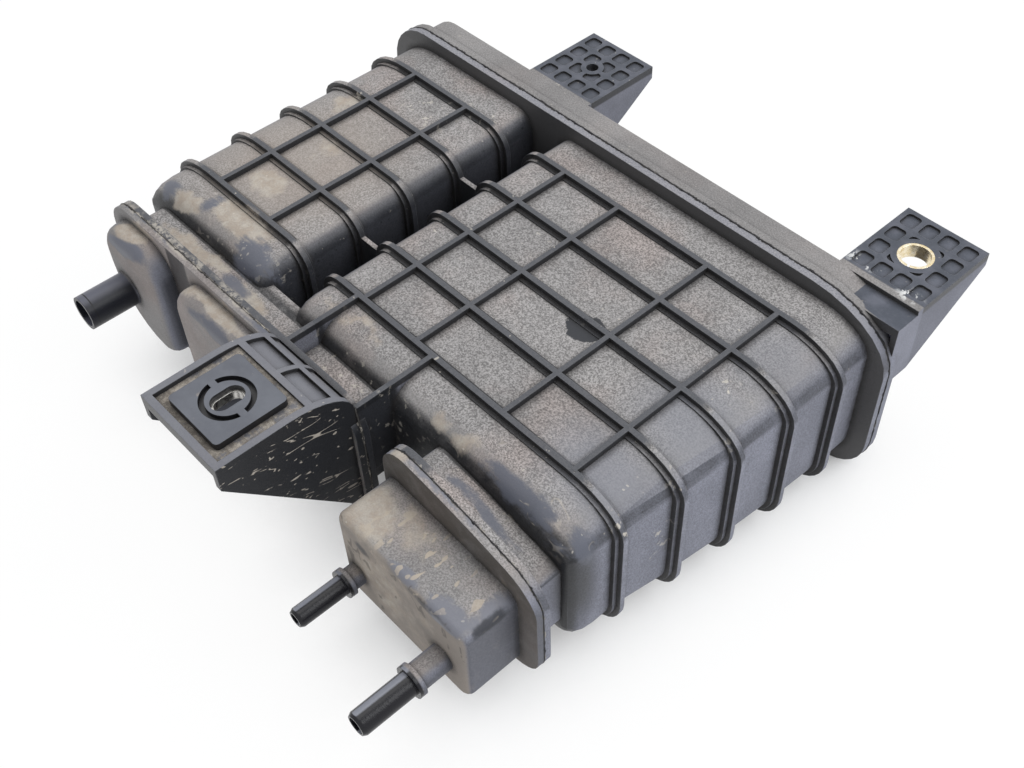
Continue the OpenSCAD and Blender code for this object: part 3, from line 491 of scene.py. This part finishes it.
# Where the nose's right corner is left darker
BODY_DARK_CORNER = (((125, -60, 50), (15, 10, 28), 1.0),)
BODY_TAN = (((-92, -10, 76), (48, 56, 14), 0.55),)
BODY_HAZE = (
    ((112, -34, 74), (30, 20, 12), 0.75),
    ((116, 4, 74), (26, 26, 12), 0.65),
    ((118, 46, 74), (24, 24, 12), 0.45),
)
BODY_BARE = (((60, 8, 76), (11, 8, 4), 1.15),)
BODY_SCRATCHES = (((95, -56, 72), (40, 14, 14), 1.0),)
BODY_CHIPS = (
    ((117, 24, 76), (9, 5, 6), 0.95),
    ((128, -23, 45), (9, 9, 14), 0.60),
    ((-70, -52, 66), (40, 14, 14), 0.55),
    ((-112, 33, 77), (6, 8, 4), 0.95),
    ((-80, 50, 76), (18, 14, 4), 0.60),
    ((-62, 66, 76), (12, 10, 4), 0.80),
    ((20, -66, 66), (40, 10, 20), 0.60),
    ((127, -42, 70), (6, 4, 8), 0.85),
    ((127, -16, 70), (6, 4, 8), 0.85),
    ((127, 10, 70), (6, 4, 8), 0.75),
    ((127, 36, 70), (6, 4, 8), 0.75),
)
COVER_WHITE_SPOTS = (
    ((-25, 82, 83), (5, 3, 3), 1.0),
    ((110, 104.5, 80), (9, 4, 4), 1.0),
    ((133, 102, 80), (6, 4, 4), 1.0),
)
VENT_MUD = (
    ((-104, -85, 75), (20, 5, 5), 1.0),
    ((-72, -86, 74), (22, 6, 6), 0.95),
    ((-38, -85, 75), (26, 5, 5), 1.0),
)
VENT_WIPES = (
    ((-104, -91, 71), (24, 4, 6), 0.95),
    ((-40, -91, 70), (22, 4, 5), 0.80),
    ((-100, -79, 79), (30, 2, 3), 0.55),
    ((-12, -79, 79), (22, 4, 4), 0.85),
)
PURGE_MUD = (
    ((62, -96, 64), (16, 13, 7), 1.0),
    ((78, -90, 64), (24, 9, 6), 0.55),
    ((57, -80, 79), (7, 5, 5), 0.80),
    ((78, -104, 42), (30, 4, 24), 0.55),
)
PURGE_WIPES = (
    ((88, -103, 62), (9, 4, 6), 0.78),
    ((108, -102, 60), (13, 8, 7), 0.92),
    ((116, -90, 58), (5, 12, 5), 0.80),
    ((92, -79, 79), (40, 4, 5), 0.85),
)
PURGE_BARE = (
    ((104, -105, 58), (20, 2, 3), 0.62),
    ((118, -93, 56), (3, 9, 4), 0.85),
    ((66, -105, 55), (7, 2, 4), 0.80),
)
PURGE_SPLASHES = (((86, -94, 62), (34, 16, 10), 1.0), ((112, -88, 60), (10, 14, 8), 0.8))


def flange_end(s):
    """The right end of the vent flange, beside the bracket."""
    return s.both(s.sideways, s.band(s.x, BRACKET_RIGHT, 8.0, 11.0))


def clay_band(s, middle):
    """Pale clay smeared along the top of the vent flange."""
    on_top = s.both(s.band(s.y, middle, 0.8, 2.2), s.ramp(s.nz, 0.3, 0.7))
    left_part = s.ramp(s.x, GAP_RIGHT + 10.0, GAP_RIGHT - 8.0)
    clouds = s.ramp(s.noise(14.0, 3.0), 0.42, 0.58)
    flakes = s.ramp(s.noise(3.0, 5.0, 0.75), 0.44, 0.56)
    s.coat(s.both(on_top, left_part, clouds, flakes, 0.8), SMEAR, 0.9)


def body_dust_and_painted_shade(s):
    """Takes the dust film down towards black plastic: painted shade along the rounded-over sides, on the
    ribs' flanks and the step beside each rib, along the nose's lower front edge and in the gap between the
    chambers; and darker at the collar's end and at the nose's right corner.
    """
    # Painted shade along the rounded-over sides
    round_over = s.both(s.sideways, s.ramp(s.nz, 0.03, 0.30), s.ramp(s.nz, 0.86, 0.55))
    s.thin(s.both(round_over, s.ramp(s.noise(14.0, 4.0), 0.25, 0.60, 0.6, 1.0)), 0.34)
    # Painted shade on the ribs' flanks and on the step beside each rib
    rib_side = s.both(s.ramp(s.z, SKIN_TOP - 0.5, SKIN_TOP), s.upright)
    above_skin = s.ramp(s.z, SKIN_TOP + 0.1, SKIN_TOP + 0.4)
    below_crest = s.ramp(s.z, RIB_TOP - 0.5, RIB_TOP - 0.9)
    level = s.ramp(s.nz, 0.97, 0.995)
    behind_nose = s.ramp(s.y, NOSE_FRONT - 2.0, NOSE_FRONT)
    rib_step = s.both(above_skin, below_crest, level, behind_nose)
    s.thin(s.math("MAXIMUM", rib_side, rib_step), 0.06)
    # Painted shade along the nose's lower front edge
    nose_edge = s.ramp(s.y, NOSE_FRONT + 5.0, NOSE_FRONT + 2.0)
    under_nose = s.both(nose_edge, s.ramp(s.y, NOSE_FRONT - 0.6, NOSE_FRONT - 0.1))
    s.thin(s.both(under_nose, s.ramp(s.lumps, 0.30, 0.55, 0.7, 1.0)), 0.08)
    # Painted shade in the gap between the chambers
    from_left = s.ramp(s.x, GAP_LEFT - 16.0, GAP_LEFT)
    from_right = s.ramp(s.x, GAP_RIGHT, GAP_RIGHT + 12.0, 1.0, 0.0)
    s.thin(s.both(from_left, from_right, s.ramp(s.nz, 0.75, 0.95, 1.0, 0.0)), 0.15)
    # Darker at the collar's end beside the bracket
    s.thin(s.both(flange_end(s), s.ramp(s.y, NOSE_FRONT + 4.0, NOSE_FRONT)), 0.06)
    # Darker at the nose's right corner beside the purge flange
    s.thin(s.patches(BODY_DARK_CORNER), 0.14)


def body_material():
    """Dusty on top and at the sides, with dark ribs and the most marks near the front; the faces that look
    to the front stay near-black, as clean plastic and as painted shade.
    """
    # Little film on the faces that look to the front: clean plastic, and painted shade
    s = Shell("body_plastic", up=0.97, side=0.90, front=0.09, back=0.30)
    body_dust_and_painted_shade(s)
    s.settle()
    before_flange = s.ramp(s.y, REAR_WELD - 14.2, REAR_WELD - 6.2, 1.0, 0.0)
    rib_crest = s.both(s.ramp(s.z, RIB_TOP - 1.0, RIB_TOP - 0.3), s.upward, before_flange)
    s.coat(s.both(rib_crest, 0.90), RIB_PLASTIC, 0.5)
    flange_face = s.both(s.forward, s.ramp(s.y, REAR_WELD - 8.0, REAR_WELD - 5.0))
    s.coat(s.both(flange_face, 0.18), GREY_DUST, 0.6)
    # Bluish-grey flange top: dust with a painted sheen
    flange_top = s.both(s.band(s.y, REAR_WELD, 3.4, 4.0), s.upward)
    s.coat(s.both(flange_top, 0.55), SIDE_DUST_AND_SHEEN, 0.5)
    flat_top = s.both(s.ramp(s.z, RIB_TOP - 1.0, RIB_TOP - 1.6), s.ramp(s.nz, 0.55, 0.95))
    s.coat(s.both(s.patches(BODY_TAN), flat_top), WARM_DUST, 0.8)
    s.coat(s.both(s.patches(BODY_HAZE, s.warped(8.0)), flat_top), BLUE_HAZE, 0.55)
    s.muddy(BODY_MUD)
    s.wiped(BODY_WIPES)
    bare = s.patches(BODY_BARE, s.warped(4.0))
    s.coat(s.torn(bare, s.lumps, 0.06), BARE_PLASTIC, 0.4)
    s.chipped(BODY_CHIPS)
    s.crumbs(0.6)
    s.shade_and_grime_corners()
    s.edges_worn_and_highlighted()
    s.scratched(s.patches(BODY_SCRATCHES), 16.0, 0.010, (0.5, 1.2, 1.0), PALE_DUST, 0.5)
    s.seam(REAR_WELD, 0.35, 0.6, 0.1)
    clay_band(s, CAP_WELD + 1.4)
    s.seam(CAP_WELD, 0.25, 0.5, 0.5)
    return s.done()


def cover_material():
    """Evenly dusty, with clean dark tabs."""
    s = Shell("cover_plastic", up=0.84, side=0.95, front=0.12, back=0.45, speckle=0.45, warmth=0.4)
    on_tab = s.ramp(s.y, COVER_BACK + 0.3, COVER_BACK + 1.2)
    s.thin(s.both(on_tab, s.ramp(s.nz, -0.2, 0.5)), 0.10)
    s.thin(s.both(on_tab, s.ramp(s.z, TAB_TOP - 3.8, TAB_TOP - 2.8), s.upright), 0.10)
    s.settle()
    clean = s.mix(s.ramp(s.lumps, 0.35, 0.7), TAB_PLASTIC, HAZE)
    s.coat(s.both(on_tab, s.upward, 0.85), clean, 0.42)
    corner = s.both(s.ramp(s.x, TAB_CORNER - 4.0, TAB_CORNER), s.ramp(s.nz, 0.985, 0.995))
    below_top = s.ramp(s.z, TAB_TOP - 0.5, TAB_TOP - 0.8)
    above_foot = s.ramp(s.z, TAB_TOP - 6.8, TAB_TOP - 4.8)
    s.coat(s.both(corner, below_top, above_foot), clean, 0.42)
    # Small white spots on the cover, most near the tabs
    s.chipped(COVER_WHITE_SPOTS, 0.55, WHITE_SPOT)
    s.crumbs(0.4)
    s.shade_and_grime_corners()
    s.edges_worn_and_highlighted()
    s.seam(REAR_WELD, 0.35, 0.6, 0.1)
    return s.done()


def vent_material():
    """Muddy lobes, a hazy bracket with sand in its recess, a scratched black wall on the right that is
    partly painted shade, and painted shade in the valley between the lobes.
    """
    s = Shell("vent_plastic", up=0.84, side=0.75, front=0.95, back=0.30, speckle=0.4)
    right_of_lobes = s.ramp(s.x, BRACKET_LEFT - 1.1, BRACKET_LEFT)
    on_bracket = s.both(right_of_lobes, s.ramp(s.z, RIB_TOP - 19.0, RIB_TOP))
    at_right = s.ramp(s.x, BRACKET_RIGHT - 3.5, BRACKET_RIGHT - 2.0)
    wall = s.both(at_right, s.ramp(s.nx, 0.40, 0.70))
    s.thin(s.both(on_bracket, s.upright), 0.10)
    # The bracket's right wall stays bare black: clean plastic, and painted shade
    s.thin(wall, 0.02)
    # Painted shade in the valley between the lobes
    s.thin(s.both(s.band(s.x, VALLEY_X, 6.0, 7.5), s.upright), 0.25)
    # Darker at the flange's right end beside the bracket
    s.thin(flange_end(s), 0.06)
    s.settle()
    s.coat(s.both(on_bracket, s.upward, 0.80), s.mix(s.lumps, HAZE, DECK_PLASTIC), 0.5)
    s.muddy(VENT_MUD)
    s.wiped(VENT_WIPES)
    recess = s.both(s.ramp(s.y, RECESS_BACK + 3.0, RECESS_BACK), s.band(s.z, RECESS_FLOOR, 0.2, 0.5))
    sand = s.mix(s.ramp(s.noise(2.2, 5.0, 0.8), 0.36, 0.64), SAND, PALE_DUST)
    s.coat(s.both(recess, s.ramp(s.noise(6.0, 5.0, 0.7), 0.36, 0.50), s.upward), sand, 0.9)
    s.scratched(wall, 7.0, 0.012, (1.0, 0.18, 1.0), PALE_DUST, 0.85, math.radians(12))
    dots = s.ramp(s.noise(1.7, 1.0, 0.4, (1.0, 0.5, 1.0)), 0.715, 0.745)
    s.coat(s.both(wall, dots, 0.75), PALE_DUST, 0.85)
    s.crumbs(0.5)
    s.shade_and_grime_corners()
    s.edges_worn_and_highlighted()
    clay_band(s, CAP_WELD)
    s.seam(CAP_WELD, 0.25, 0.5, 0.5)
    port_finish(s)
    return s.done()


def lit_side(s):
    """How far a tube's wall turns to the upper left."""
    return s.math("ADD", s.both(s.nx, -0.34), s.both(s.nz, 0.94))


def port_finish(s):
    """Clean dark plastic on the air port, with a painted sheen on its upper left side, and a fine ring
    behind its rim.
    """
    across = s.math("SUBTRACT", s.x, PORT.x)
    high = s.math("SUBTRACT", s.z, PORT.z)
    off = s.math("SQRT", s.math("ADD", s.both(across, across), s.both(high, high)))
    near_axis = s.ramp(off, PORT_RADIUS + 0.7, PORT_RADIUS + 1.3, 1.0, 0.0)
    on_port = s.both(near_axis, s.ramp(s.y, PORT_ROOT - 0.4, PORT_ROOT - 1.4))
    # Painted sheen: lighter where the wall turns up and to the left
    sheen = s.ramp(lit_side(s), 0.45, 0.95)
    s.coat(on_port, s.mix(sheen, PORT_DARK, PORT_SHEEN), 0.34)
    s.coat(s.both(on_port, s.band(s.y, PORT_TIP + 3.0, 0.15, 0.4)), BLACK, 0.4)


def purge_material():
    """A dusty box with mud, wipes and dried drops, and a flange face behind it darkened with dirt and
    painted shade.
    """
    s = Shell("purge_plastic", up=0.97, side=0.45, front=0.86, back=0.40, speckle=0.6)
    s.settle()
    box_face = s.both(s.forward, s.band(s.y, BOX_FRONT, 1.0, 3.0))
    s.coat(s.both(box_face, 0.75), s.mix(s.lumps, BOX_DARK, BOX_LIGHT), 0.8)
    s.muddy(PURGE_MUD, 0.38)
    s.wiped(PURGE_WIPES, PURGE_HAZE)
    rubbed = s.patches(PURGE_BARE, s.warped(4.0))
    s.coat(s.both(s.torn(rubbed, s.lumps, 0.25), 0.85), BARE_PLASTIC, 0.45)
    s.splashed(PURGE_SPLASHES)
    s.scratched(box_face, 10.0, 0.020, (0.9, 1.0, 0.30), DRIPS, 0.6)
    # Painted shade on the flange's face above the box, darker towards its top, with some dirt
    higher = s.ramp(s.z, RIB_TOP - 39.0, RIB_TOP - 13.0, 0.5, 0.85)
    flange_face = s.both(s.forward, s.band(s.y, CAP_WELD - 3.0, 0.4, 0.8), higher)
    s.coat(s.both(flange_face, s.ramp(s.lumps, 0.30, 0.60, 0.75, 1.0)), FLANGE_DIRT_AND_SHADE, 0.8)
    s.crumbs(0.6)
    s.shade_and_grime_corners()
    s.edges_worn_and_highlighted()
    s.seam(CAP_WELD, 0.15, 0.4, 0.2)
    spigot_finish(s)
    return s.done()


def spigot_finish(s):
    """Glossy black hose stubs ahead of their beads, with a painted highlight along their upper left side,
    dusty at the foot.
    """
    on_tank = s.ramp(s.x, BETWEEN_SPIGOTS - 0.5, BETWEEN_SPIGOTS + 0.5)
    start = s.lerp(on_tank, PURGE_BEAD + 1.5, TANK_BEAD + 1.5)
    ahead = s.ramp(s.math("SUBTRACT", s.y, start), -0.6, 0.2, 1.0, 0.0)
    # Painted highlight: a narrow light band where the wall turns up and to the left
    streak = s.ramp(lit_side(s), 0.925, 0.985)
    s.coat(ahead, s.mix(streak, STUB_DARK, STUB_HIGHLIGHT), 0.22)


# Plain finishes

def plain(name, dark, light, size, rough, metallic=0.0, relief=0.2, depth=0.2):
    """One moulded, plated or woven finish with a fine pattern."""
    g = Graph(name)
    pattern = g.noise(size, 4.0, 0.65)
    colour = g.mix(g.ramp(pattern, 0.3, 0.7), dark, light)
    sheen = g.ramp(pattern, 0.2, 0.8, rough * 0.85, rough * 1.15)
    bumps = g.bump(pattern, relief, depth, g.rounded(0.25, 4))
    return g.finish(g.shader(colour, sheen, bumps, metallic))


def pad_material():
    """Clean grey-blue plastic with a little sand on it, and painted shade in black on its sides and in its
    grooves.
    """
    g = Graph("pad_plastic")
    cloud = g.noise(14.0, 5.0, 0.65)
    colour = g.mix(g.ramp(cloud, 0.3, 0.7), PAD_DARK, PAD_LIGHT)
    up = g.ramp(g.nz, 0.3, 0.7)
    # Painted shade: black on the pad's sides
    colour = g.mix(up, BLACK, colour)
    # Painted shade: black in the ring groove and below the pad's top
    groove = g.ramp(g.z, PAD_TOP - 1.4, PAD_TOP - 0.6, 1.0, 0.0)
    colour = g.mix(groove, colour, BLACK)
    sand = g.both(up, g.ramp(g.noise(5.0, 5.0, 0.7), 0.62, 0.68), g.ramp(cloud, 0.45, 0.6))
    colour = g.mix(g.both(sand, 0.6), colour, TAN_DUST)
    bumps = g.bump(g.noise(1.1, 2.0), 0.15, 0.15, g.rounded(0.3, 4))
    return g.finish(g.shader(colour, g.ramp(cloud, 0.3, 0.7, 0.38, 0.52), bumps))


def carbon_material():
    """Packed pellets of carbon."""
    g = Graph("carbon")
    cells = g.add("ShaderNodeTexVoronoi", {"Vector": g.place, "Scale": 0.42})
    tone = g.add("ShaderNodeSeparateXYZ", {0: cells.outputs["Color"]}).outputs[0]
    colour = g.mix(tone, rgb(0.010, 0.010, 0.011), rgb(0.045, 0.045, 0.048))
    height = g.math("SUBTRACT", 1.0, cells.outputs["Distance"])
    return g.finish(g.shader(colour, g.ramp(tone, 0.0, 1.0, 0.6, 0.85), g.bump(height, 0.8, 1.2)))


def bead_material(name, dark, light, low, high):
    """Squeezed-out plastic, lighter where the pattern is above low."""
    g = Graph(name)
    pattern = g.noise(4.3, 4.0, 0.6)
    colour = g.mix(g.ramp(pattern, low, high), dark, light)
    rough = g.ramp(pattern, 0.3, 0.7, 0.55, 0.9)
    return g.finish(g.shader(colour, rough, g.bump(pattern, 0.4, 0.4)))


def dress(obj, material):
    obj.data.materials.clear()
    obj.data.materials.append(material)


GRID = plain("grid_plastic", rgb(0.035, 0.035, 0.038), rgb(0.060, 0.060, 0.064), 1.25, 0.5)
FELT = plain("felt", rgb(0.62, 0.60, 0.55), rgb(0.82, 0.80, 0.74), 0.7, 0.95, 0.0, 0.7, 0.6)
CARBON = carbon_material()
SPRING = plain("spring_steel", rgb(0.40, 0.40, 0.40), rgb(0.58, 0.58, 0.57), 1.7, 0.32, 1.0)
MATERIALS = {
    "canister_body": body_material(),
    "rear_cover": cover_material(),
    "vent_cap": vent_material(),
    "purge_cap": purge_material(),
    "bracket_pad": pad_material(),
    "pad_sleeve": plain("dull_steel", rgb(0.30, 0.29, 0.28), rgb(0.62, 0.61, 0.58), 1.4, 0.30, 1.0),
    "tab_bush": plain("yellow_zinc", rgb(0.80, 0.66, 0.40), rgb(0.94, 0.86, 0.68), 2.0, 0.24, 1.0),
    "main_spring_inner": SPRING,
    "main_spring_outer": SPRING,
    "vent_spring": SPRING,
}
for chamber in ("main", "vent"):
    MATERIALS[chamber + "_screen"] = GRID
    MATERIALS[chamber + "_retaining_plate"] = GRID
    MATERIALS[chamber + "_front_felt"] = FELT
    MATERIALS[chamber + "_rear_felt"] = FELT
    MATERIALS[chamber + "_carbon_bed"] = CARBON
DARK_BEAD = bead_material("dark_weld", BLACK, rgb(0.10, 0.097, 0.092), 0.55, 0.75)
CLAY_BEAD = bead_material("clay_weld", rgb(0.035, 0.032, 0.030), rgb(0.36, 0.33, 0.29), 0.50, 0.66)


# Smooth shading over the rounded corners

SMOOTH_ANGLE = math.radians(31)
MERGE_DISTANCE = 0.001 * MM


def smooth_group():
    """Joins the split corners and keeps sharp only the edges that turn more than SMOOTH_ANGLE."""
    tree = bpy.data.node_groups.new("smooth_shading", "GeometryNodeTree")
    for way in ("INPUT", "OUTPUT"):
        tree.interface.new_socket("Geometry", in_out=way, socket_type="NodeSocketGeometry")
    start = tree.nodes.new("NodeGroupInput")
    merge = tree.nodes.new("GeometryNodeMergeByDistance")
    merge.inputs["Distance"].default_value = MERGE_DISTANCE
    clear = tree.nodes.new("GeometryNodeRemoveAttribute")
    clear.inputs["Name"].default_value = "custom_normal"
    faces = tree.nodes.new("GeometryNodeSetShadeSmooth")
    faces.domain = "FACE"
    edges = tree.nodes.new("GeometryNodeSetShadeSmooth")
    edges.domain = "EDGE"
    end = tree.nodes.new("NodeGroupOutput")
    turn = tree.nodes.new("GeometryNodeInputMeshEdgeAngle")
    gentle = tree.nodes.new("FunctionNodeCompare")
    gentle.operation = "LESS_THAN"
    gentle.inputs["B"].default_value = SMOOTH_ANGLE
    tree.links.new(turn.outputs["Unsigned Angle"], gentle.inputs["A"])
    tree.links.new(gentle.outputs[0], edges.inputs["Shade Smooth"])
    chain = (start, merge, clear, faces, edges, end)
    for a, b in zip(chain, chain[1:]):
        tree.links.new(a.outputs["Geometry"], b.inputs["Geometry"])
    return tree


SMOOTH = smooth_group()
for name, obj in nodes.items():
    dress(obj, MATERIALS[name])
    obj.modifiers.new("smooth_shading", "NODES").node_group = SMOOTH
    obj.modifiers.new("even_normals", "WEIGHTED_NORMAL").keep_sharp = True


# Weld beads squeezed out between the mouldings

BEAD_STEP = 1.1 * MM
BEAD_SIDES = 6
ON_PLANE = 0.01 * MM


def hull(points):
    """Convex outline of points in a plane, anticlockwise."""
    points = sorted(set(points))
    halves = []
    for row in (points, points[::-1]):
        half = []
        for p in row:
            while len(half) > 1:
                a, b = half[-2], half[-1]
                if (b[0] - a[0]) * (p[1] - a[1]) - (b[1] - a[1]) * (p[0] - a[0]) > 0:
                    break
                half.pop()
            half.append(p)
        halves.append(half[:-1])
    return halves[0] + halves[1]


def spaced(outline, step):
    """Points at even steps round a closed outline."""
    points = []
    for i, a in enumerate(outline):
        a, b = Vector(a), Vector(outline[(i + 1) % len(outline)])
        count = max(1, round((b - a).length / step))
        points += [a.lerp(b, k / count) for k in range(count)]
    return points


def weld_line(node, y):
    """Outline of a node where a plane of constant y cuts it, as points of x and z."""
    level = [v.co for v in nodes[node].data.vertices if abs(v.co.y - y) < ON_PLANE]
    return hull([(round(co.x, 6), round(co.z, 6)) for co in level])


def wobble(place, rate, seed):
    return noise.noise(Vector((place.x * rate, place.y * rate, seed)))


def weld_bead(name, node, y, size, seed, material):
    """A ragged closed bead about as thick as size, along a node's weld line."""
    path = spaced(weld_line(node, y), BEAD_STEP)
    count = len(path)
    verts, faces = [], []
    for i, p in enumerate(path):
        along = (path[(i + 1) % count] - path[i - 1]).normalized()
        out = Vector((along.y, -along.x))
        lump = 0.7 * wobble(p, 180, seed) + 0.5 * wobble(p, 600, seed + 7)
        reach = size * max(0.15, 0.75 + lump)
        shift = 0.3 * size * wobble(p, 240, seed + 3)
        for k in range(BEAD_SIDES):
            a = 2 * math.pi * k / BEAD_SIDES
            q = p + out * (reach * math.cos(a))
            verts.append((q.x, y + shift + 0.75 * size * math.sin(a), q.y))
    for i in range(count):
        a, b = i * BEAD_SIDES, (i + 1) % count * BEAD_SIDES
        for k in range(BEAD_SIDES):
            m = (k + 1) % BEAD_SIDES
            faces.append((a + k, a + m, b + m, b + k))
    mesh = bpy.data.meshes.new(name)
    mesh.from_pydata(verts, [], faces)
    mesh.update()
    mesh.shade_smooth()
    obj = bpy.data.objects.new(name, mesh)
    scene.collection.objects.link(obj)
    dress(obj, material)
    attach(obj, "root")


weld_bead("weld_bead_rear", "rear_cover", REAR_WELD * MM, 0.42 * MM, 1.0, DARK_BEAD)
weld_bead("weld_bead_vent", "vent_cap", CAP_WELD * MM, 0.40 * MM, 2.0, CLAY_BEAD)
weld_bead("weld_bead_purge", "purge_cap", CAP_WELD * MM, 0.32 * MM, 3.0, DARK_BEAD)


# Studio

FLOOR_HALF = 6.0


def make_floor():
    """White paper that glows where it is seen, less so close to the object."""
    corners = [(FLOOR_HALF * i, FLOOR_HALF * j, 0.0) for i, j in ((-1, -1), (1, -1), (1, 1), (-1, 1))]
    mesh = bpy.data.meshes.new("floor")
    mesh.from_pydata(corners, [], [(0, 1, 2, 3)])
    obj = bpy.data.objects.new("floor", mesh)
    scene.collection.objects.link(obj)
    g = Graph("paper")
    paper = g.shader(g.mix(g.noise(25.0, 3.0), PAPER_DARK, PAPER_LIGHT), 0.9, specular=0.1)
    white = g.add("ShaderNodeEmission", {"Color": WHITE, "Strength": 1.0}).outputs[0]
    whiter = g.both(seen_rays(g.tree), g.ramp(g.openness(60.0, 4), 0.25, 0.85, 0.20, 0.92))
    dress(obj, g.finish(g.add("ShaderNodeMixShader", {0: whiter, 1: paper, 2: white}).outputs[0]))


make_camera()
make_world()
make_floor()
make_lamp("right_light", (1.15, 0.75, 1.35), 1.4, 14.5, (0.97, 0.985, 1.0))
make_lamp("top_light", (-0.35, 0.25, 1.8), 1.6, 12.0, (1.0, 0.995, 0.98))

scene.view_settings.view_transform = "Standard"
